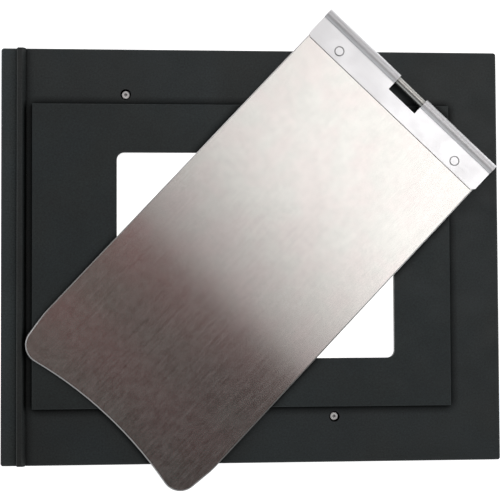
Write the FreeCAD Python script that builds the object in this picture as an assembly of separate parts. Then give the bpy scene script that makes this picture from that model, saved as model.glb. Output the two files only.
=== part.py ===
import FreeCAD, Part
import math
import os

# Holder frame for large-format cameras with its metal dark slide laid across the face.
#
# Millimetres. +X runs from the slide mouth to the closed end, +Y up the frame,
# +Z out of the front face. The origin is on the optical axis, through the middle of
# the exposure window, in the plane of the rear rails' lower faces. The dark slide is
# drawn flat in axes of its own, u along its length towards the handle, v across it,
# w up, and then laid on the panel.

Vec = FreeCAD.Vector

# ---- driving dimensions ----
FRAME_LENGTH = 145.8
FRAME_WIDTH = 120.65
FRAME_CENTRE_X = -0.9
CORNER_RADIUS = 0.8
EDGE_BREAK = 0.25

RAIL_HEIGHT = 3.0
REAR_THICKNESS = 2.0
CHANNEL_DEPTH = 1.2
FRONT_THICKNESS = 1.8
PANEL_THICKNESS = 1.6

PANEL_LENGTH = 121.95
PANEL_WIDTH = 88.2
PANEL_CENTRE_X = -3.825

WINDOW_LENGTH = 81.0
WINDOW_WIDTH = 60.0
WINDOW_RADIUS = 2.15
FRONT_WINDOW_RELIEF = 0.3
REAR_WINDOW_RELIEF = 1.5

RIB_X = -67.9
RIB_WIDTH = 2.6
RIB_LET_IN = 0.6
RIB_OVERHANG = 0.05
RIB_SLOPE_WIDTH = 1.1
RIB_SLOPE_DEPTH = 1.3

BLADE_WIDTH = 66.3
BLADE_THICKNESS = 0.5
CHANNEL_CLEARANCE = 0.35
END_CLEARANCE = 0.9

HANDLE_LENGTH = 66.9
HANDLE_SHEET = 0.5
ROD_RADIUS = 1.2
FLANGE_START = 57.9
BEAD_CENTRE = 66.68
NOTCH_WIDTH = 10.5
NOTCH_START = 62.7
RIVET_U = 60.7
RIVET_SPACING = 46.6
BLADE_ARC_CENTRE = -62.6
BLADE_REACH = 65.7
BLADE_ARC_RADIUS = 118.0
TAPER_START = -53.5
TAPER_DROP = 1.2
TIP_RADIUS = 5.5
BEVEL_WIDTH = 0.35
BEVEL_DEPTH = 0.18

SLIDE_CENTRE_X = -0.43
SLIDE_CENTRE_Y = -0.44
SLIDE_ANGLE = 46.52
REST_GAP = 0.02

RAIL_SCREW_X = (-37.9, 22.8)
RAIL_SCREW_Y = 47.1
RAIL_MARGIN = 11.65
RAIL_INNER_Y = 44.4
RAIL_OUTER_Y = 49.8
RAIL_LIP = 3.0
RAIL_LIP_HEIGHT = 1.2

FIT = 0.02

# ---- levels worked out from the thicknesses ----
REAR_BOTTOM = RAIL_HEIGHT
CHANNEL_BOTTOM = REAR_BOTTOM + REAR_THICKNESS
CHANNEL_TOP = CHANNEL_BOTTOM + CHANNEL_DEPTH
FACE = CHANNEL_TOP + FRONT_THICKNESS
PANEL_TOP = FACE + PANEL_THICKNESS

MOUTH_X = FRAME_CENTRE_X - FRAME_LENGTH / 2
CLOSED_END_X = FRAME_CENTRE_X + FRAME_LENGTH / 2
HALF_WIDTH = FRAME_WIDTH / 2
CHANNEL_HALF = BLADE_WIDTH / 2 + CHANNEL_CLEARANCE
CHANNEL_END_X = MOUTH_X + FLANGE_START + BLADE_REACH + END_CLEARANCE
BEAD_RADIUS = ROD_RADIUS + HANDLE_SHEET


# ---- building blocks ----
def block(x0, x1, y0, y1, z0, z1):
    return Part.makeBox(x1 - x0, y1 - y0, z1 - z0, Vec(x0, y0, z0))


def disc(x, y, z0, z1, radius):
    return Part.makeCylinder(radius, z1 - z0, Vec(x, y, z0))


def vertical_edges(shape, keep=None):
    """Straight edges along Z, or only those whose X, Y the test keeps."""
    found = []
    for edge in shape.Edges:
        a = edge.Vertexes[0].Point
        b = edge.Vertexes[-1].Point
        upright = abs(a.x - b.x) < 1e-6 and abs(a.y - b.y) < 1e-6 and abs(a.z - b.z) > 1e-6
        if upright and (keep is None or keep(a.x, a.y)):
            found.append(edge)
    return found


def edges_at(shape, z, keep=None):
    """Edges that lie in the plane at z, or only those whose middle point the test keeps."""
    found = []
    for edge in shape.Edges:
        if all(abs(v.Point.z - z) < 1e-6 for v in edge.Vertexes):
            middle = edge.valueAt((edge.FirstParameter + edge.LastParameter) / 2)
            flat = abs(middle.z - z) < 1e-6
            if flat and (keep is None or keep(middle.x, middle.y)):
                found.append(edge)
    return found


def rounded_block(centre_x, length, width, z0, z1, radius):
    shape = block(centre_x - length / 2, centre_x + length / 2, -width / 2, width / 2, z0, z1)
    return shape.makeFillet(radius, vertical_edges(shape))


def window_cutter(relief, z0, z1, radius=WINDOW_RADIUS):
    return rounded_block(0, WINDOW_LENGTH + 2 * relief, WINDOW_WIDTH + 2 * relief,
                         z0, z1, radius + relief)


def arch_leaf(x0, x1, centre_y, chord, z0, rise, thickness):
    """A thin leaf bowed up along Y: its ends stand on z0, its crown is rise higher."""
    half = chord / 2
    radius = (half * half + rise * rise) / (2 * rise)
    inner = radius - thickness
    inner_half = math.sqrt(inner * inner - (radius - rise) ** 2)
    centre_z = z0 + rise - radius

    def point(y, z):
        return Vec(x0, centre_y + y, z)

    outer_arc = Part.Arc(point(-half, z0), point(0, z0 + rise), point(half, z0)).toShape()
    inner_arc = Part.Arc(point(inner_half, z0), point(0, centre_z + inner),
                         point(-inner_half, z0)).toShape()
    foot_a = Part.makeLine(point(half, z0), point(inner_half, z0))
    foot_b = Part.makeLine(point(-inner_half, z0), point(-half, z0))
    face = Part.Face(Part.Wire([outer_arc, foot_a, inner_arc, foot_b]))
    return face.extrude(Vec(x1 - x0, 0, 0))


# ---- screws ----
PLATE_SCREW_PLACES = [(x, side * 55.5) for x in (-62.9, -0.9, 61.1) for side in (-1, 1)]
PLATE_SCREW_PLACES += [(65.1, side * 20.0) for side in (-1, 1)]
PLATE_SCREW_RADIUS = 1.0
PLATE_SCREW_HEAD = 1.9
PLATE_SCREW_TOP = FACE - 0.6

PANEL_SCREW_PLACES = [(x, side * 38.9) for x in (-58.9, -3.9, 51.1) for side in (-1, 1)]
PANEL_SCREW_RADIUS = 0.8
PANEL_SCREW_HEAD = 1.5
PANEL_SCREW_TOP = PANEL_TOP - 0.6

RAIL_SCREW_PLACES = [(x, side * RAIL_SCREW_Y) for x in RAIL_SCREW_X for side in (-1, 1)]
RAIL_SCREW_RADIUS = 0.8
RAIL_SCREW_HEAD = 1.24
RAIL_SCREW_SOCKET = 0.52
RAIL_SCREW_TIP = 1.0
COUNTERBORE_RADIUS = 1.55
COUNTERBORE_DEPTH = 2.0
HEAD_HEIGHT = 0.9


def countersunk(x, y, z0, z1, shank, head, slack=0.0):
    """A countersunk screw with its head at z0 and its end at z1, or the hole for one."""
    depth = head - shank
    cone = Part.makeCone(head + slack, shank + slack, depth, Vec(x, y, z0))
    return cone.fuse(disc(x, y, z0 + depth / 2, z1, shank + slack))


def slotted_screw(x, y, z0, z1, shank, head):
    slot_width = 0.5
    slot_depth = 0.4
    screw = countersunk(x, y, z0, z1, shank, head)
    slot = block(x - head, x + head, y - slot_width / 2, y + slot_width / 2, z0, z0 + slot_depth)
    return screw.cut(slot)


def hexagon(x, y, z0, z1, radius):
    corners = []
    for k in range(7):
        turn = math.radians(60 * k + 15)
        corners.append(Vec(x + radius * math.cos(turn), y + radius * math.sin(turn), z0))
    return Part.Face(Part.makePolygon(corners)).extrude(Vec(0, 0, z1 - z0))


def rail_screw(x, y):
    seat = FACE - COUNTERBORE_DEPTH
    head = disc(x, y, seat, seat + HEAD_HEIGHT, RAIL_SCREW_HEAD)
    head = head.makeChamfer(0.15, edges_at(head, seat + HEAD_HEIGHT))
    socket = hexagon(x, y, seat + 0.3, seat + HEAD_HEIGHT + 1, RAIL_SCREW_SOCKET)
    return head.fuse(disc(x, y, RAIL_SCREW_TIP, seat, RAIL_SCREW_RADIUS)).cut(socket)


def rail_screw_hole(x, y):
    hole = disc(x, y, RAIL_SCREW_TIP - 0.1, FACE + 1, RAIL_SCREW_RADIUS + FIT)
    bore = disc(x, y, FACE - COUNTERBORE_DEPTH, FACE + 1, COUNTERBORE_RADIUS)
    return hole.fuse(bore)


def plate_screw_hole(x, y):
    return countersunk(x, y, REAR_BOTTOM, PLATE_SCREW_TOP + 0.1,
                       PLATE_SCREW_RADIUS, PLATE_SCREW_HEAD, FIT)


def panel_screw_hole(x, y):
    return countersunk(x, y, CHANNEL_TOP, PANEL_SCREW_TOP + 0.1,
                       PANEL_SCREW_RADIUS, PANEL_SCREW_HEAD, FIT)


def drilled(shape, *groups):
    """The shape less the screw holes of each (hole function, places) group."""
    for hole, places in groups:
        for x, y in places:
            shape = shape.cut(hole(x, y))
    return shape


RAIL_HOLES = (rail_screw_hole, RAIL_SCREW_PLACES)
PLATE_HOLES = (plate_screw_hole, PLATE_SCREW_PLACES)
PANEL_HOLES = (panel_screw_hole, PANEL_SCREW_PLACES)

# ---- light trap at the slide mouth ----
TRAP_MOUTH_X = MOUTH_X + 2.6
TRAP_PIN_X = MOUTH_X + 10.3
TRAP_HALF = 33.0
POCKET_FLOOR = 3.6
PIN_Z = 4.3
PIN_RADIUS = 0.35
KNUCKLE_RADIUS = 0.6
LEAF_THICKNESS = 0.3
FRONT_PILE_END = 5.65
FLAP_PILE_TOP = 5.58
PILE_RECESS = 0.6
PILE_END_X = MOUTH_X + 8.4


def light_trap_pocket():
    pocket = block(TRAP_MOUTH_X - 0.3, TRAP_PIN_X + 0.9, -TRAP_HALF - 0.3, TRAP_HALF + 0.3,
                   POCKET_FLOOR, CHANNEL_BOTTOM + 1)
    pin_bore = Part.makeCylinder(PIN_RADIUS + FIT, 2 * TRAP_HALF + 4.4,
                                 Vec(TRAP_PIN_X, -TRAP_HALF - 2.2, PIN_Z), Vec(0, 1, 0))
    return pocket.fuse(pin_bore)


def front_velvet():
    return block(TRAP_MOUTH_X, PILE_END_X, -TRAP_HALF, TRAP_HALF,
                 FRONT_PILE_END, CHANNEL_TOP + PILE_RECESS)


def flap_pin():
    return Part.makeCylinder(PIN_RADIUS, 2 * TRAP_HALF + 4.0,
                             Vec(TRAP_PIN_X, -TRAP_HALF - 2.0, PIN_Z), Vec(0, 1, 0))


def trap_flap():
    """A steel leaf with its inner edge curled round the hinge pin."""
    top = PIN_Z + KNUCKLE_RADIUS
    leaf = block(TRAP_MOUTH_X, TRAP_PIN_X, -TRAP_HALF, TRAP_HALF, top - LEAF_THICKNESS, top)
    start = Vec(TRAP_PIN_X, -TRAP_HALF, PIN_Z)
    knuckle = Part.makeCylinder(KNUCKLE_RADIUS, 2 * TRAP_HALF, start, Vec(0, 1, 0))
    bore = Part.makeCylinder(PIN_RADIUS + 0.03, 2 * TRAP_HALF, start, Vec(0, 1, 0))
    return leaf.fuse(knuckle).cut(bore).removeSplitter()


def flap_velvet():
    return block(TRAP_MOUTH_X, PILE_END_X, -TRAP_HALF, TRAP_HALF,
                 PIN_Z + KNUCKLE_RADIUS, FLAP_PILE_TOP)


def flap_springs():
    """Two bowed leaves under the flap."""
    rise = PIN_Z + KNUCKLE_RADIUS - LEAF_THICKNESS - POCKET_FLOOR - FIT
    return Part.makeCompound([
        arch_leaf(MOUTH_X + 3.5, MOUTH_X + 6.5, y, 18.0, POCKET_FLOOR, rise, 0.2) for y in (-18.0, 18.0)])


# ---- frame ----
def front_plate():
    plate = rounded_block(FRAME_CENTRE_X, FRAME_LENGTH, FRAME_WIDTH, CHANNEL_TOP, FACE, CORNER_RADIUS)
    plate = plate.makeChamfer(EDGE_BREAK, edges_at(plate, FACE))
    plate = plate.cut(window_cutter(FRONT_WINDOW_RELIEF, CHANNEL_TOP - 1, FACE + 1))
    rib_groove = block(RIB_X - RIB_WIDTH / 2, RIB_X + RIB_WIDTH / 2,
                       -HALF_WIDTH - 1, HALF_WIDTH + 1, FACE - RIB_LET_IN, FACE + 1)
    pile_recess = block(TRAP_MOUTH_X, PILE_END_X, -TRAP_HALF, TRAP_HALF,
                        CHANNEL_TOP - 1, CHANNEL_TOP + PILE_RECESS)
    plate = plate.cut(rib_groove).cut(pile_recess)
    return drilled(plate, RAIL_HOLES, PLATE_HOLES, PANEL_HOLES)


def raised_panel():
    edge_bevel = 0.2
    panel = rounded_block(PANEL_CENTRE_X, PANEL_LENGTH, PANEL_WIDTH, FACE, PANEL_TOP, 0.25)
    panel = panel.makeChamfer(edge_bevel, edges_at(panel, PANEL_TOP))
    panel = panel.cut(window_cutter(0, FACE - 1, PANEL_TOP + 1))
    return drilled(panel, PANEL_HOLES)


def locating_rib():
    """A strip let into the face: upright towards the mouth, sloped down towards the panel."""
    x0 = RIB_X - RIB_WIDTH / 2
    x1 = RIB_X + RIB_WIDTH / 2
    end = HALF_WIDTH + RIB_OVERHANG
    section = [Vec(x0, -end, FACE - RIB_LET_IN), Vec(x1, -end, FACE - RIB_LET_IN),
               Vec(x1, -end, PANEL_TOP - RIB_SLOPE_DEPTH),
               Vec(x1 - RIB_SLOPE_WIDTH, -end, PANEL_TOP), Vec(x0, -end, PANEL_TOP)]
    rib = Part.Face(Part.makePolygon(section + section[:1])).extrude(Vec(0, 2 * end, 0))
    rib = rib.makeFillet(0.4, vertical_edges(rib))
    return rib.makeFillet(0.3, edges_at(rib, PANEL_TOP))


def channel_strip(side):
    y0, y1 = sorted((side * CHANNEL_HALF, side * HALF_WIDTH))
    strip = block(MOUTH_X, CHANNEL_END_X, y0, y1, CHANNEL_BOTTOM, CHANNEL_TOP)
    corner = vertical_edges(strip, lambda x, y: x < 0 and abs(y) > HALF_WIDTH - 1)
    strip = strip.makeFillet(CORNER_RADIUS, corner)
    return drilled(strip, RAIL_HOLES, PLATE_HOLES)


def end_strip():
    strip = block(CHANNEL_END_X, CLOSED_END_X, -HALF_WIDTH, HALF_WIDTH,
                  CHANNEL_BOTTOM, CHANNEL_TOP)
    corners = vertical_edges(strip, lambda x, y: x > CLOSED_END_X - 1)
    return drilled(strip.makeFillet(CORNER_RADIUS, corners), PLATE_HOLES)


SEAL_GROOVE = 0.2
SEAL_HEIGHT = 0.7
SEAL_OUTSET = 6.0
SEAL_BAND = 3.0


def seal_ring(z0, z1, slack=0.0):
    outer = window_cutter(SEAL_OUTSET + slack, z0, z1, 0)
    inner = window_cutter(SEAL_OUTSET - SEAL_BAND - slack, z0 - 1, z1 + 1, 0)
    return outer.cut(inner)


def rear_plate():
    plate = rounded_block(FRAME_CENTRE_X, FRAME_LENGTH, FRAME_WIDTH, REAR_BOTTOM,
                          CHANNEL_BOTTOM, CORNER_RADIUS)
    plate = plate.makeChamfer(EDGE_BREAK, edges_at(plate, REAR_BOTTOM))
    plate = plate.cut(window_cutter(REAR_WINDOW_RELIEF, REAR_BOTTOM - 1, CHANNEL_BOTTOM + 1))
    plate = plate.cut(light_trap_pocket())
    plate = plate.cut(seal_ring(REAR_BOTTOM - 1, REAR_BOTTOM + SEAL_GROOVE, FIT))
    return drilled(plate, RAIL_HOLES, PLATE_HOLES)


def rear_light_seal():
    top = REAR_BOTTOM + SEAL_GROOVE
    return seal_ring(top - SEAL_HEIGHT, top)


def rear_rail(side):
    """An L-section rail: the lip holds the edge of what slides in behind the frame."""
    x0 = RAIL_SCREW_X[0] - RAIL_MARGIN
    x1 = RAIL_SCREW_X[1] + RAIL_MARGIN
    wall_y = sorted((side * RAIL_INNER_Y, side * RAIL_OUTER_Y))
    lip_y = sorted((side * (RAIL_INNER_Y - RAIL_LIP), side * RAIL_OUTER_Y))
    wall = block(x0, x1, wall_y[0], wall_y[1], 0, RAIL_HEIGHT)
    lip = block(x0, x1, lip_y[0], lip_y[1], 0, RAIL_LIP_HEIGHT)
    rail = wall.fuse(lip).removeSplitter()
    rail = rail.makeChamfer(0.4, vertical_edges(rail, lambda x, y: abs(y) < RAIL_INNER_Y - 1))
    return drilled(rail, RAIL_HOLES)


# ---- dark slide, drawn in its own u, v, w axes ----
def slide_blade():
    """A flat sheet: straight sides, a slight taper and rounded tips, a hollow far end."""
    half = BLADE_WIDTH / 2
    handle_end = NOTCH_START - 0.2
    reach = BLADE_ARC_CENTRE - 8
    tip_half = half - TAPER_DROP * (TAPER_START - reach) / (TAPER_START - BLADE_ARC_CENTRE)
    outline = [Vec(handle_end, -half, 0), Vec(handle_end, half, 0), Vec(TAPER_START, half, 0),
               Vec(reach, tip_half, 0), Vec(reach, -tip_half, 0), Vec(TAPER_START, -half, 0),
               Vec(handle_end, -half, 0)]
    low = -BLADE_THICKNESS / 2
    face = Part.Face(Part.makePolygon(outline))
    blade = face.extrude(Vec(0, 0, BLADE_THICKNESS))
    blade.translate(Vec(0, 0, low))
    hollow = disc(BLADE_ARC_CENTRE - BLADE_ARC_RADIUS, 0, low - 1, 1, BLADE_ARC_RADIUS)
    blade = blade.cut(hollow)
    blade = blade.makeFillet(25.0, vertical_edges(blade, lambda u, v: abs(u - TAPER_START) < 0.1))
    blade = blade.makeFillet(TIP_RADIUS, vertical_edges(blade, lambda u, v: u < TAPER_START - 5))
    rim = edges_at(blade, -low, lambda u, v: u < TAPER_START - 3)
    blade = blade.makeChamfer(BEVEL_DEPTH, BEVEL_WIDTH, rim)
    for v in (-RIVET_SPACING / 2, RIVET_SPACING / 2):
        blade = blade.cut(disc(RIVET_U, v, -1, 1, RIVET_SHANK + FIT))
    return blade


RIVET_SHANK = 0.8
RIVET_HEAD = 1.15
RIVET_SEAT = 1.5
RIVET_SINK = 0.3


def handle_section():
    """The folded strip's section in the u-w plane: a rolled bead and two flanges."""
    flange_half = BLADE_THICKNESS / 2 + HANDLE_SHEET
    length = HANDLE_LENGTH
    start = -length / 2
    bead = Part.makeCylinder(BEAD_RADIUS, length, Vec(BEAD_CENTRE, start, 0), Vec(0, 1, 0))
    flanges = block(FLANGE_START, BEAD_CENTRE, start, -start, -flange_half, flange_half)
    inside = block(FLANGE_START - 1, BEAD_CENTRE, start - 1, -start + 1,
                   -BLADE_THICKNESS / 2, BLADE_THICKNESS / 2)
    tunnel = Part.makeCylinder(ROD_RADIUS + FIT, length + 2, Vec(BEAD_CENTRE, start - 1, 0),
                               Vec(0, 1, 0))
    return bead.fuse(flanges).cut(inside).cut(tunnel).removeSplitter()


def slide_handle():
    handle = handle_section()
    corner = HANDLE_LENGTH / 2
    inner_corners = vertical_edges(
        handle, lambda u, v: u < FLANGE_START + 0.1 and abs(v) > corner - 0.1)
    handle = handle.makeChamfer(1.0, inner_corners)
    notch = block(NOTCH_START, BEAD_CENTRE + BEAD_RADIUS + 1, -NOTCH_WIDTH / 2,
                  NOTCH_WIDTH / 2, -BEAD_RADIUS - 1, BEAD_RADIUS + 1)
    handle = handle.cut(notch)
    flange_half = BLADE_THICKNESS / 2 + HANDLE_SHEET
    for v in (-RIVET_SPACING / 2, RIVET_SPACING / 2):
        handle = handle.cut(disc(RIVET_U, v, -3, 3, RIVET_SHANK + FIT))
        handle = handle.cut(disc(RIVET_U, v, flange_half - RIVET_SINK, 3, RIVET_SEAT))
        handle = handle.cut(disc(RIVET_U, v, -3, -flange_half + RIVET_SINK, RIVET_SEAT))
    return handle


def handle_rod():
    length = HANDLE_LENGTH - 0.6
    return Part.makeCylinder(ROD_RADIUS, length, Vec(BEAD_CENTRE, -length / 2, 0), Vec(0, 1, 0))


def handle_rivets():
    flange_half = BLADE_THICKNESS / 2 + HANDLE_SHEET
    seat = flange_half - RIVET_SINK
    proud = 0.05
    rivets = []
    for v in (-RIVET_SPACING / 2, RIVET_SPACING / 2):
        shank = disc(RIVET_U, v, -seat, seat, RIVET_SHANK)
        heads = [disc(RIVET_U, v, seat, flange_half + proud, RIVET_HEAD),
                 disc(RIVET_U, v, -flange_half - proud, -seat, RIVET_HEAD)]
        rivets.append(shank.fuse(heads).removeSplitter())
    return Part.makeCompound(rivets)


def laid_on_panel(shape):
    """Turns a dark-slide piece to its angle and rests bead and far end on the panel."""
    bead_height = BEAD_RADIUS
    blade_height = BLADE_THICKNESS / 2
    far_end = BLADE_ARC_CENTRE - 2.6
    tilt = math.degrees(math.atan2(bead_height - blade_height, BEAD_CENTRE - far_end))
    lift = PANEL_TOP + REST_GAP + blade_height - far_end * math.sin(math.radians(tilt))
    placed = shape.copy()
    placed.rotate(Vec(0, 0, 0), Vec(0, 1, 0), -tilt)
    placed.rotate(Vec(0, 0, 0), Vec(0, 0, 1), SLIDE_ANGLE)
    placed.translate(Vec(SLIDE_CENTRE_X, SLIDE_CENTRE_Y, lift))
    return placed


# ---- nodes ----
NODES = {
    "front_plate": front_plate(),
    "raised_panel": raised_panel(),
    "locating_rib": locating_rib(),
    "upper_channel_strip": channel_strip(1),
    "lower_channel_strip": channel_strip(-1),
    "end_strip": end_strip(),
    "rear_plate": rear_plate(),
    "rear_light_seal": rear_light_seal(),
    "upper_rear_rail": rear_rail(1),
    "lower_rear_rail": rear_rail(-1),
    "front_velvet": front_velvet(),
    "trap_flap": trap_flap(),
    "flap_velvet": flap_velvet(),
    "flap_pin": flap_pin(),
    "flap_springs": flap_springs(),
    "rail_screws": Part.makeCompound([rail_screw(x, y) for x, y in RAIL_SCREW_PLACES]),
    "plate_screws": Part.makeCompound([
        slotted_screw(x, y, REAR_BOTTOM, PLATE_SCREW_TOP, PLATE_SCREW_RADIUS, PLATE_SCREW_HEAD)
        for x, y in PLATE_SCREW_PLACES]),
    "panel_screws": Part.makeCompound([
        slotted_screw(x, y, CHANNEL_TOP, PANEL_SCREW_TOP, PANEL_SCREW_RADIUS, PANEL_SCREW_HEAD)
        for x, y in PANEL_SCREW_PLACES]),
    "slide_blade": laid_on_panel(slide_blade()),
    "slide_handle": laid_on_panel(slide_handle()),
    "handle_rod": laid_on_panel(handle_rod()),
    "handle_rivets": laid_on_panel(handle_rivets()),
}

os.makedirs("parts", exist_ok=True)
for name, shape in NODES.items():
    shape.exportStep(f"parts/{name}.step")
    box = shape.BoundBox
    print(f"{name:22s} solids {len(shape.Solids)} valid {shape.isValid()} volume {shape.Volume:9.2f} "
          f"x {box.XMin:.2f} {box.XMax:.2f} y {box.YMin:.2f} {box.YMax:.2f} "
          f"z {box.ZMin:.2f} {box.ZMax:.2f}")
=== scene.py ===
import math

import bmesh
import bpy
from mathutils import Euler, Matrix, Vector, noise


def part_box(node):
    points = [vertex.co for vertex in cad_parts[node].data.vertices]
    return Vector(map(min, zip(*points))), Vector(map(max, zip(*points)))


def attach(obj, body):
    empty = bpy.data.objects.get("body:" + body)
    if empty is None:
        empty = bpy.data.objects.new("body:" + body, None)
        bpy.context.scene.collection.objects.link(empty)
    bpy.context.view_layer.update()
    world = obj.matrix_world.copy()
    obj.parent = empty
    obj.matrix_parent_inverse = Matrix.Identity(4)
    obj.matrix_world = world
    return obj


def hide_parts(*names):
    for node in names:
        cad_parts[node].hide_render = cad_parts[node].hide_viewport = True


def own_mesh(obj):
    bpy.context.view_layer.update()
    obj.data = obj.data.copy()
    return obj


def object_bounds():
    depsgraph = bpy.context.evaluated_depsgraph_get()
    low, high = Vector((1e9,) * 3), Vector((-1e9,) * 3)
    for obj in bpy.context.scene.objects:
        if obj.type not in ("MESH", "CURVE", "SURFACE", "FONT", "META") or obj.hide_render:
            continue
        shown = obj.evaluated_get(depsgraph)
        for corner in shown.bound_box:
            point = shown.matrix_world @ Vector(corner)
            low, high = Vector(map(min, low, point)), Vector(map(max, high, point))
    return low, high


# Looks for a film holder frame that lies on its back with its metal dark slide laid across it.
# Everything is in metres in the row frame: +X from the slide mouth to the closed end, +Y up
# the frame, +Z out of its front face, and the origin on the optical axis.

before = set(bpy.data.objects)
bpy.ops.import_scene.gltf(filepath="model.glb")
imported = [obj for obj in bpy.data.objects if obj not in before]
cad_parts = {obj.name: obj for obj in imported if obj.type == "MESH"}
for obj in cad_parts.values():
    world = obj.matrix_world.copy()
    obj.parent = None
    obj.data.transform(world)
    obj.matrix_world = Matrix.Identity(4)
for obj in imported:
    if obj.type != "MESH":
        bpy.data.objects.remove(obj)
cad_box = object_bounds()

MM = 0.001
SLIDE_TURN = math.radians(46.52)
ALONG_SLIDE = Vector((math.cos(SLIDE_TURN), math.sin(SLIDE_TURN), 0))
ACROSS_SLIDE = Vector((-math.sin(SLIDE_TURN), math.cos(SLIDE_TURN), 0))


# ---- camera ----
CAMERA_LENS = 96.9
SENSOR_WIDTH = 36.0
CAMERA_PLACE = Vector((-32.75, -13.59, 400.0)) * MM
CAMERA_TURNS = [math.radians(turn) for turn in (2.238, -4.51, -0.263)]


def add_camera():
    data = bpy.data.cameras.new("camera")
    data.lens = CAMERA_LENS
    data.sensor_width = SENSOR_WIDTH
    camera = bpy.data.objects.new("camera", data)
    camera.location = CAMERA_PLACE
    camera.rotation_euler = Euler(CAMERA_TURNS, "XYZ")
    bpy.context.scene.collection.objects.link(camera)
    bpy.context.scene.camera = camera


# ---- finishes ----
MIX_FACTOR, MIX_A, MIX_B = 0, 6, 7
MIX_RESULT = 2


class Nodes:
    """Short calls for making nodes in a tree, with the place or direction they shade by."""

    def __init__(self, tree, coordinate):
        self.tree = tree
        self.place = self.node("TexCoord").outputs[coordinate]

    def node(self, kind, inputs=None, **settings):
        """Adds a node. inputs maps its sockets to numbers, colours or other nodes' outputs."""
        made = self.tree.nodes.new("ShaderNode" + kind)
        for key, value in settings.items():
            setattr(made, key, value)
        for socket, value in (inputs or {}).items():
            self.feed(made.inputs[socket], value)
        return made

    def feed(self, socket, value):
        if isinstance(value, bpy.types.NodeSocket):
            self.tree.links.new(value, socket)
        else:
            socket.default_value = value

    def turned(self, turn, stretch):
        """The place on the object, turned back about Z and divided by a size for each axis."""
        mapped = self.node("Mapping", {"Vector": self.place, "Rotation": (0, 0, -turn)})
        scale = tuple(1 / (size * MM) for size in stretch)
        made = self.node("VectorMath", {0: mapped.outputs[0], 1: scale}, operation="MULTIPLY")
        return made.outputs[0]

    def noise(self, size, detail=2.0, rough=0.5, where=None):
        """Noise from about 0.3 to 0.7 with features of that size in mm, or of 1 in where."""
        scale = 1.0 if where else 1 / (size * MM)
        made = self.node("TexNoise", {"Vector": where or self.place, "Scale": scale,
                                      "Detail": detail, "Roughness": rough})
        return made.outputs["Fac"]

    def spread(self, value, low, high, start=0.3, end=0.7):
        """value from start to end, turned into low to high."""
        made = self.node("MapRange", {"Value": value, "From Min": start, "From Max": end,
                                      "To Min": low, "To Max": high})
        return made.outputs["Result"]

    def sum(self, *values):
        total = values[0]
        for value in values[1:]:
            total = self.node("Math", {0: total, 1: value}, operation="ADD").outputs[0]
        return total

    def product(self, a, b):
        return self.node("Math", {0: a, 1: b}, operation="MULTIPLY").outputs[0]

    def power(self, a, b):
        return self.node("Math", {0: a, 1: b}, operation="POWER").outputs[0]

    def mix(self, factor, a, b, blend="MIX"):
        made = self.node("Mix", data_type="RGBA", blend_type=blend)
        self.feed(made.inputs[MIX_FACTOR], factor)
        self.feed(made.inputs[MIX_A], a)
        self.feed(made.inputs[MIX_B], b)
        return made.outputs[MIX_RESULT]

    def shade(self, colour, factor):
        """colour made lighter or darker by factor."""
        grey = self.node("CombineColor", {"Red": factor, "Green": factor, "Blue": factor})
        return self.mix(1.0, colour, grey.outputs[0], blend="MULTIPLY")

    def dot(self, a, b):
        made = self.node("VectorMath", {0: a, 1: tuple(b) if isinstance(b, Vector) else b},
                         operation="DOT_PRODUCT")
        return made.outputs["Value"]

    def along(self, direction):
        """How far the place lies along a direction."""
        return self.dot(self.place, direction)

    def ramp(self, value, stops):
        """value through a ramp of grey stops, each (place, level) or (place, level, red share)."""
        made = self.node("ValToRGB", {0: value})
        elements = made.color_ramp.elements
        while len(elements) < len(stops):
            elements.new(0.5)
        for element, (place, level, *red) in zip(elements, stops):
            element.position = place
            element.color = colour(level * (red[0] if red else 1.0), level, level)
        return made.outputs[0]


class Finish(Nodes):
    """A material with one Principled shader, and short calls for what shapes it."""

    def __init__(self, name, **values):
        self.material = bpy.data.materials.new(name)
        self.material.use_nodes = True
        super().__init__(self.material.node_tree, "Object")
        self.shader = self.tree.nodes["Principled BSDF"]
        self.set(**values)

    def set(self, **values):
        """Sets the shader's own inputs: base_color=..., roughness=... and so on."""
        for key, value in values.items():
            name = key.replace("_", " ").title().replace("Ior", "IOR")
            self.feed(self.shader.inputs[name], value)

    def bump(self, height, depth):
        """Bumps of that depth in mm, on top of any that the shader has."""
        made = self.node("Bump", {"Height": height, "Distance": depth * MM, "Strength": 1.0})
        normal = self.shader.inputs["Normal"]
        if normal.links:
            self.feed(made.inputs["Normal"], normal.links[0].from_socket)
        self.feed(normal, made.outputs[0])

    def crease(self, reach):
        """1 in the open, down to 0 deep in corners and grooves narrower than reach in mm: the mask
        for painted shade in creases.
        """
        made = self.node("AmbientOcclusion", {"Distance": reach * MM}, samples=8)
        return made.outputs["AO"]

    def rim(self):
        """1 where a sheet's surface turns down at its edge, 0 on its flat."""
        normal = self.node("NewGeometry").outputs["Normal"]
        level = self.node("Math", {0: self.dot(normal, (0, 0, 1))}, operation="ABSOLUTE").outputs[0]
        return self.spread(level, 1.0, 0.0, start=0.85, end=0.97)

    def edges(self, radius):
        """1 on sharp edges, falling to 0 within that radius in mm."""
        rounded = self.node("Bevel", {"Radius": radius * MM}, samples=6).outputs[0]
        true = self.node("NewGeometry").outputs["Normal"]
        return self.spread(self.dot(rounded, true), 1.0, 0.0, start=0.8, end=0.985)


def colour(red, green, blue):
    return (red, green, blue, 1.0)


RUBBED_METAL = colour(0.16, 0.16, 0.155)
# The strip between the mouth and the rib is painted lighter, as painted light, and gets weaker
# painted crease shade.
MOUTH_STRIP_EDGE = {"start": -69.5 * MM, "end": -68.5 * MM}
MOUTH_STRIP_PAINTED_LIGHT = 1.7


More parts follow.
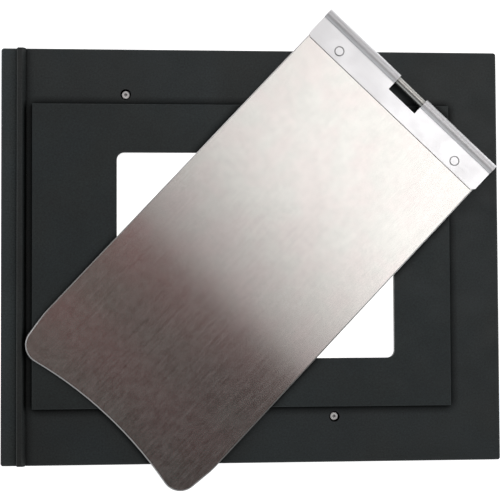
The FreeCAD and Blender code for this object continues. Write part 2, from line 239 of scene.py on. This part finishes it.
def black_finish(name, base, rough=0.5, depth=2.6, rub=0.5):
    """Matt black anodised aluminium: fine blasted grain, clouding, painted shade in creases, rubbed
    edges.

    depth is how dark the painted crease shade gets, except in the strip between the mouth and the
    rib, which is painted lighter.
    """
    finish = Finish(name)
    red, green, blue = base
    tint = finish.mix(finish.spread(finish.noise(20, detail=2), 0.0, 1.0, start=0.4, end=0.6),
                      colour(red * 1.05, green, blue * 0.97),
                      colour(red * 0.95, green, blue * 1.04))
    cloud = finish.spread(finish.noise(16, detail=4), 0.85, 1.15)
    grain = finish.spread(finish.noise(0.5, detail=4, rough=0.75), 0.50, 1.50)
    along = finish.along((1, 0, 0))
    fall = finish.spread(along, 0.9, depth, **MOUTH_STRIP_EDGE)
    # Painted shade: ambient occlusion darkens the colour in corners, creases and grooves, more
    # strongly outside the mouth strip.
    painted_shade = finish.power(finish.crease(2.6), fall)
    # Painted light: the mouth strip's colour is lifted 1.7 times.
    strip = finish.spread(along, MOUTH_STRIP_PAINTED_LIGHT, 1.0, **MOUTH_STRIP_EDGE)
    tone = finish.product(finish.product(cloud, grain), finish.product(painted_shade, strip))
    rubbed = finish.product(finish.edges(0.18), finish.spread(finish.noise(2.5), 0.05, rub))
    finish.set(base_color=finish.mix(rubbed, finish.shade(tint, tone), RUBBED_METAL))
    # The painted crease shade also dims the specular.
    finish.set(specular_ior_level=finish.product(painted_shade, 0.5))
    finish.set(roughness=finish.spread(finish.noise(6, detail=4), rough - 0.04, rough + 0.05))
    finish.bump(finish.noise(0.22, detail=2), 0.006)
    finish.bump(finish.noise(4.0, detail=1), 0.004)
    return finish.material


BLADE_REACH = 65 * MM
EDGE_PAINTED_LIGHT_STOPS = ((0.04, 0.5), (0.10, 0.11), (0.42, 0.11), (0.65, 0.9))


def painted_edge_light(finish):
    """Painted highlight and shade on the blade's edge: bright at the handle, dark along the far
    part.
    """
    along = finish.spread(finish.along(ALONG_SLIDE), 0.0, 1.0, start=-BLADE_REACH, end=BLADE_REACH)
    return finish.ramp(along, EDGE_PAINTED_LIGHT_STOPS)


def brushed_steel():
    """Stainless sheet brushed along its length, with faint warm and green clouding, and painted
    highlight and shade on its edge.
    """
    finish = Finish("brushed_steel", anisotropic=0.95)
    hair = finish.noise(1, detail=2, where=finish.turned(SLIDE_TURN, (2.4, 0.32, 1)))
    line = finish.noise(1, detail=3, rough=0.65, where=finish.turned(SLIDE_TURN, (26, 0.6, 1)))
    scratch = finish.noise(1, detail=3, rough=0.65, where=finish.turned(SLIDE_TURN, (24, 0.32, 1)))
    speck = finish.noise(0.7, detail=3, rough=0.8)
    mottle = finish.noise(2.2, detail=2)
    cloud = finish.spread(finish.noise(11, detail=3), 0.0, 1.0, start=0.40, end=0.60)
    tint = finish.mix(cloud, colour(0.738, 0.688, 0.662), colour(0.716, 0.698, 0.664))
    patch = finish.noise(4, detail=2)
    sweep = finish.noise(24)
    shifts = ((hair, 0.02), (line, 0.015), (speck, 0.015), (patch, 0.02), (sweep, 0.03))
    tone = finish.sum(*(finish.spread(mark, -shift, shift) for mark, shift in shifts), 1.0)
    edge = finish.rim()
    # The blade's rim colour is painted light near the handle and dark along the far part.
    finish.set(base_color=finish.mix(edge, finish.shade(tint, tone), painted_edge_light(finish)))
    finish.set(roughness=finish.sum(finish.spread(line, 0.18, 0.21),
                                    finish.spread(speck, -0.01, 0.01),
                                    finish.product(edge, 0.3)))
    depths = ((hair, 0.042), (speck, 0.040), (scratch, 0.05), (mottle, 0.042))
    marks = finish.sum(*(finish.spread(mark, 0.0, depth, start=0.4, end=0.6)
                         for mark, depth in depths))
    # The marks lower the metallic less towards the handle end, where the blade mirrors the bright
    # softbox; this follows the lighting, not wear.
    marks_fade = finish.spread(finish.along(ALONG_SLIDE), -1.0, -0.45, start=-0.01, end=0.04)
    finish.set(metallic=finish.sum(finish.product(marks, marks_fade), 1.0))
    finish.set(tangent=finish.node("CombineXYZ", dict(enumerate(ACROSS_SLIDE))).outputs[0])
    finish.bump(hair, 0.0008)
    return finish.material


BEAD_START = {"start": 64.6 * MM, "end": 65.0 * MM}


def satin_aluminium():
    """Soft aluminium strip with drawing lines along the handle, one half painted darker as painted
    reflection, and painted shade round the rivets.
    """
    finish = Finish("satin_aluminium")
    drawn = finish.noise(1, detail=3, where=finish.turned(SLIDE_TURN, (0.16, 18, 1)))
    smudge = finish.noise(7, detail=4, rough=0.6)
    # Painted reflection: the half of the handle towards +ACROSS is painted up to 14 % darker.
    half_painted_dark = finish.spread(finish.along(ACROSS_SLIDE), 0.0, -0.14, start=-0.01, end=0.03)
    bead = finish.spread(finish.along(ALONG_SLIDE), 0.0, 1.0, **BEAD_START)
    # Painted shade in the rivet seats and other creases, left off the bead.
    ring = finish.power(finish.crease(0.5), 1.5)
    ring = finish.node("Math", {0: ring, 1: bead}, operation="MAXIMUM").outputs[0]
    tone = finish.sum(finish.spread(drawn, -0.03, 0.03), finish.spread(smudge, -0.03, 0.03),
                      half_painted_dark, 1.0)
    finish.set(base_color=finish.shade(colour(0.955, 0.945, 0.957), finish.product(tone, ring)))
    finish.set(roughness=finish.sum(finish.spread(smudge, 0.30, 0.40),
                                    finish.spread(drawn, -0.03, 0.03),
                                    finish.product(bead, 0.10)))
    finish.set(metallic=finish.sum(finish.product(bead, -0.45), 1.0))
    finish.bump(drawn, 0.002)
    return finish.material


def turned_steel(name, base, rough):
    """Bright steel with fine machining marks and painted shade in its creases, for rods, pins and
    screws.
    """
    finish = Finish(name, metallic=1.0)
    mark = finish.noise(0.25, detail=3)
    # Painted shade: the colour darkens in creases and recesses.
    tone = finish.product(finish.spread(mark, 0.88, 1.06), finish.crease(1.0))
    finish.set(base_color=finish.shade(colour(*base), tone))
    finish.set(roughness=finish.spread(finish.noise(0.8, detail=2), rough - 0.05, rough + 0.07))
    finish.bump(mark, 0.003)
    return finish.material


def velvet():
    """Short black pile: it drinks the light head on and glows a little at a glance."""
    finish = Finish("velvet", specular_ior_level=0.15, sheen_weight=0.35, sheen_roughness=0.4,
                    sheen_tint=colour(0.55, 0.55, 0.60))
    tuft = finish.noise(0.3, detail=3, rough=0.7)
    finish.set(base_color=finish.shade(colour(0.010, 0.010, 0.011), finish.spread(tuft, 0.5, 1.6)))
    finish.set(roughness=finish.spread(tuft, 0.85, 1.0))
    finish.bump(tuft, 0.08)
    return finish.material


# ---- velvet pieces ----
PILE_STEP = 0.4 * MM
PILE_TUFT = 0.05 * MM
PILE_MARGIN = PILE_TUFT * 1.5
SEAL_BAND = 3.0 * MM
CORNER_STEPS = 8


def tufted(point, outward):
    """A point of the pile, pushed in or out as the tufts run."""
    push = noise.noise(point / (0.55 * MM)) + 0.5 * noise.noise(point / (0.21 * MM))
    return point + outward * push * PILE_TUFT


def crown(width, height, count=12):
    """Half a rounded section of the pile, as (across, up, outward) from edge to edge."""
    section = []
    for k in range(count + 1):
        turn = math.pi * k / count
        across = -math.copysign(abs(math.cos(turn)) ** 0.45, math.cos(turn)) * width / 2
        up = math.sin(turn) ** 0.55 * height
        section.append((across, up, Vector((-math.cos(turn), math.sin(turn)))))
    return section


def pile_mesh(name, rows, closed):
    """A mesh through rows of points; each row is one closed section, ends capped if open."""
    mesh = bmesh.new()
    rings = [[mesh.verts.new(point) for point in row] for row in rows]
    pairs = list(zip(rings, rings[1:]))
    if closed:
        pairs.append((rings[-1], rings[0]))
    for ring, other in pairs:
        for k in range(len(ring)):
            after = (k + 1) % len(ring)
            mesh.faces.new((ring[k], other[k], other[after], ring[after]))
    if not closed:
        mesh.faces.new(rings[0])
        mesh.faces.new(reversed(rings[-1]))
    bmesh.ops.recalc_face_normals(mesh, faces=mesh.faces)
    for face in mesh.faces:
        face.smooth = True
    data = bpy.data.meshes.new(name)
    mesh.to_mesh(data)
    mesh.free()
    piece = bpy.data.objects.new(name, data)
    bpy.context.scene.collection.objects.link(piece)
    return piece


def pile_strip(node, up):
    """A strip of pile in the CAD strip's box, glued flat on one face and crowned on the other."""
    low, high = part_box(node)
    base = low.z if up > 0 else high.z
    centre = (low.x + high.x) / 2
    section = crown(high.x - low.x - 2 * PILE_MARGIN, high.z - low.z - PILE_MARGIN)
    count = round((high.y - low.y) / PILE_STEP)
    rows = []
    for i in range(count + 1):
        y = low.y + (high.y - low.y) * i / count
        row = []
        for across, rise, outward in section:
            point = Vector((centre + across, y, base + up * rise))
            row.append(tufted(point, Vector((outward.x, 0, up * outward.y))) if rise > 0 else point)
        rows.append(row)
    return pile_mesh(node + "_pile", rows, closed=False)


def pile_ring(node):
    """A frame of pile round the rear opening, in its groove and crowned towards the rear."""
    low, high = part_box(node)
    section = crown(SEAL_BAND - 2 * PILE_MARGIN, high.z - low.z - PILE_MARGIN)
    half_x = high.x - SEAL_BAND / 2
    half_y = high.y - SEAL_BAND / 2
    corner = SEAL_BAND * 0.75
    rows = []
    for point, away in rounded_path(half_x, half_y, corner):
        row = []
        for across, rise, outward in section:
            place = Vector((point.x + away.x * across, point.y + away.y * across, high.z - rise))
            push = Vector((away.x * outward.x, away.y * outward.x, -outward.y))
            row.append(tufted(place, push) if rise > 0 else place)
        rows.append(row)
    return pile_mesh(node + "_pile", rows, closed=True)


def rounded_path(half_x, half_y, radius):
    """Points round a rectangle with rounded corners, each with its outward direction."""
    path = []
    for quarter, (sx, sy) in enumerate(((1, 1), (-1, 1), (-1, -1), (1, -1))):
        centre = Vector((sx * (half_x - radius), sy * (half_y - radius)))
        for k in range(CORNER_STEPS + 1):
            turn = math.radians(90 * quarter + 90 * k / CORNER_STEPS)
            away = Vector((math.cos(turn), math.sin(turn)))
            path.append((centre + away * radius, away))
        run = 2 * ((half_x if quarter % 2 == 0 else half_y) - radius)
        ahead = Vector((-math.sin(turn), math.cos(turn)))
        count = round(run / PILE_STEP)
        start, away = path[-1]
        path += [(start + ahead * run * i / count, away) for i in range(1, count)]
    return path


# ---- springs ----
def bowed_leaves():
    """The CAD's own spring leaves, copied as a piece of their own."""
    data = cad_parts["flap_springs"].data.copy()
    piece = bpy.data.objects.new("flap_springs_leaves", data)
    bpy.context.scene.collection.objects.link(piece)
    return piece


# ---- surroundings ----
FLOOR_HALF = 6.0
FLOOR_GAP = 0.02 * MM

SOFTBOX_HEIGHT = 1.0
SOFTBOX_ALONG = (0.006, 0.75)
SOFTBOX_ACROSS = (-0.35, 0.50)
SOFTBOX_STOPS = ((0.014, 0.42, 1.07), (0.053, 0.66, 1.02), (0.120, 1.12), (0.185, 1.39),
                 (0.28, 1.54), (0.42, 1.38), (0.75, 0.5))

LEFT_LIGHT_TURN = math.radians(25)
LEFT_LIGHT_AWAY = 1.8
LEFT_LIGHT_HALF = 0.9
LEFT_LIGHT_HEIGHTS = (0.45, 1.9)

# The room's own directions have length 1, so these measure them, not metres.
BAND_RATE = 93
BAND_DRIFT = (2.2, 4.2)
BAND_GREEN = (0.64, 1.10, 0.89)
BAND_WARM = (2.60, 0.93, 0.98)


def link_stage(name, corners, material):
    data = bpy.data.meshes.new(name)
    data.from_pydata(corners, [], [range(len(corners))])
    data.materials.append(material)
    piece = bpy.data.objects.new(name, data)
    bpy.context.scene.collection.objects.link(piece)
    return piece


def add_floor():
    """A white sheet, bright enough to print as plain white."""
    finish = Finish("white_floor", base_color=colour(0.85, 0.85, 0.85), roughness=0.9,
                    emission_color=colour(1, 1, 1), emission_strength=0.95)
    corners = [(x * FLOOR_HALF, y * FLOOR_HALF, cad_box[0].z - FLOOR_GAP)
               for x, y in ((-1, -1), (1, -1), (1, 1), (-1, 1))]
    link_stage("floor", corners, finish.material)


def light_card(name, corners, glow, strength):
    """A glowing card that lights the object but that the camera doesn't see."""
    finish = Finish(name)
    light = finish.node("Emission", {"Color": glow(finish), "Strength": strength(finish)})
    finish.tree.links.new(light.outputs[0], finish.tree.nodes["Material Output"].inputs["Surface"])
    link_stage(name, corners, finish.material).visible_camera = False


def softbox_glow(finish):
    """Dim above the middle of the object and brighter out beyond the handle."""
    return finish.ramp(finish.along(ALONG_SLIDE), SOFTBOX_STOPS)


def softbox_strength(finish):
    """Stronger over the blade's lower right edge than over its upper left one."""
    return finish.spread(finish.along(ACROSS_SLIDE), 1.58, 0.42, start=-0.30, end=0.30)


def add_lights():
    """A softbox above the handle end, and a window-like card low on the upper left."""
    near, far = SOFTBOX_ALONG
    below, above = SOFTBOX_ACROSS
    corners = [ALONG_SLIDE * u + ACROSS_SLIDE * v + Vector((0, 0, SOFTBOX_HEIGHT))
               for u, v in ((near, below), (near, above), (far, above), (far, below))]
    light_card("softbox", [tuple(corner) for corner in corners], softbox_glow, softbox_strength)
    away = Vector((-math.cos(LEFT_LIGHT_TURN), math.sin(LEFT_LIGHT_TURN), 0))
    aside = Vector((-away.y, away.x, 0))
    half = LEFT_LIGHT_HALF
    foot, top = LEFT_LIGHT_HEIGHTS
    corners = [away * LEFT_LIGHT_AWAY + aside * v + Vector((0, 0, z))
               for v, z in ((-half, foot), (half, foot), (half, top), (-half, top))]
    light_card("left_light", [tuple(corner) for corner in corners],
               lambda finish: colour(0.96, 1.0, 1.03), lambda finish: 1.55)


def add_world():
    """A room with a dim ceiling in warm and green bands, and pale walls below it.

    The blade's far half mirrors the ceiling, which is darker towards -Y.
    """
    world = bpy.data.worlds.new("room")
    world.use_nodes = True
    room = Nodes(world.node_tree, "Generated")
    drift = room.spread(room.noise(1, where=room.turned(SLIDE_TURN, (70, 110, 400))), *BAND_DRIFT)
    turns = room.sum(room.product(room.along(ALONG_SLIDE), BAND_RATE), drift)
    wave = room.node("Math", {0: turns}, operation="COSINE").outputs[0]
    bands = room.mix(room.spread(wave, 1.0, 0.0, start=-0.8, end=0.8),
                     colour(*BAND_GREEN), colour(*BAND_WARM))
    fade = (ALONG_SLIDE * 0.6 + ACROSS_SLIDE).normalized()
    ceiling = room.shade(bands, room.spread(room.along(fade), 0.0, 0.134, start=-0.12, end=0.10))
    windows = room.shade(colour(0.96, 1.0, 1.02),
                         room.spread(room.along(ALONG_SLIDE), 0.60, 0.70, start=-0.6, end=0.9))
    height = room.spread(room.along((0, 0, 1)), 0.0, 1.0, start=0.38, end=0.82)
    walls = room.mix(height, windows, ceiling)
    seen = room.node("Background", {"Color": colour(1, 1, 1)})
    lighting = room.node("Background", {"Color": walls})
    camera_ray = room.node("LightPath").outputs["Is Camera Ray"]
    chosen = room.node("MixShader", {0: camera_ray, 1: lighting.outputs[0], 2: seen.outputs[0]})
    room.feed(room.tree.nodes["World Output"].inputs["Surface"], chosen.outputs[0])
    bpy.context.scene.world = world


# ---- making ----
def wear(material, *nodes):
    for name in nodes:
        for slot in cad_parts[name].material_slots:
            slot.material = material


def stand_for(piece, node, material, body):
    piece.data.materials.clear()
    piece.data.materials.append(material)
    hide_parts(node)
    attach(piece, body)


add_camera()
wear(black_finish("black_plate", (0.0192, 0.0255, 0.0256)), "front_plate", "upper_channel_strip",
     "lower_channel_strip", "end_strip", "rear_plate")
wear(black_finish("black_panel", (0.0143, 0.0210, 0.0212)), "raised_panel")
# The rib's creases get much deeper painted shade; its edges show little rubbed wear.
wear(black_finish("black_rib", (0.0158, 0.0194, 0.0186), depth=6.0, rub=0.1), "locating_rib")
wear(black_finish("black_rail", (0.0190, 0.0235, 0.0245), rough=0.42),
     "upper_rear_rail", "lower_rear_rail")
wear(brushed_steel(), "slide_blade")
wear(satin_aluminium(), "slide_handle", "handle_rivets")
wear(turned_steel("rod_steel", (0.74, 0.73, 0.69), 0.35), "handle_rod")
wear(turned_steel("screw_steel", (0.92, 0.92, 0.91), 0.42), "rail_screws")
spring_steel = turned_steel("spring_steel", (0.45, 0.44, 0.43), 0.3)
wear(spring_steel, "trap_flap", "flap_pin")
wear(turned_steel("black_screw", (0.05, 0.05, 0.052), 0.35), "plate_screws", "panel_screws")

pile = velvet()
stand_for(pile_strip("front_velvet", up=-1), "front_velvet", pile, "frame")
stand_for(pile_strip("flap_velvet", up=1), "flap_velvet", pile, "light_trap")
stand_for(pile_ring("rear_light_seal"), "rear_light_seal", pile, "frame")
leaves = bowed_leaves()
stand_for(leaves, "flap_springs", spring_steel, "frame")
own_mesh(leaves)

add_floor()
add_lights()
add_world()
bpy.context.scene.view_settings.view_transform = "Standard"
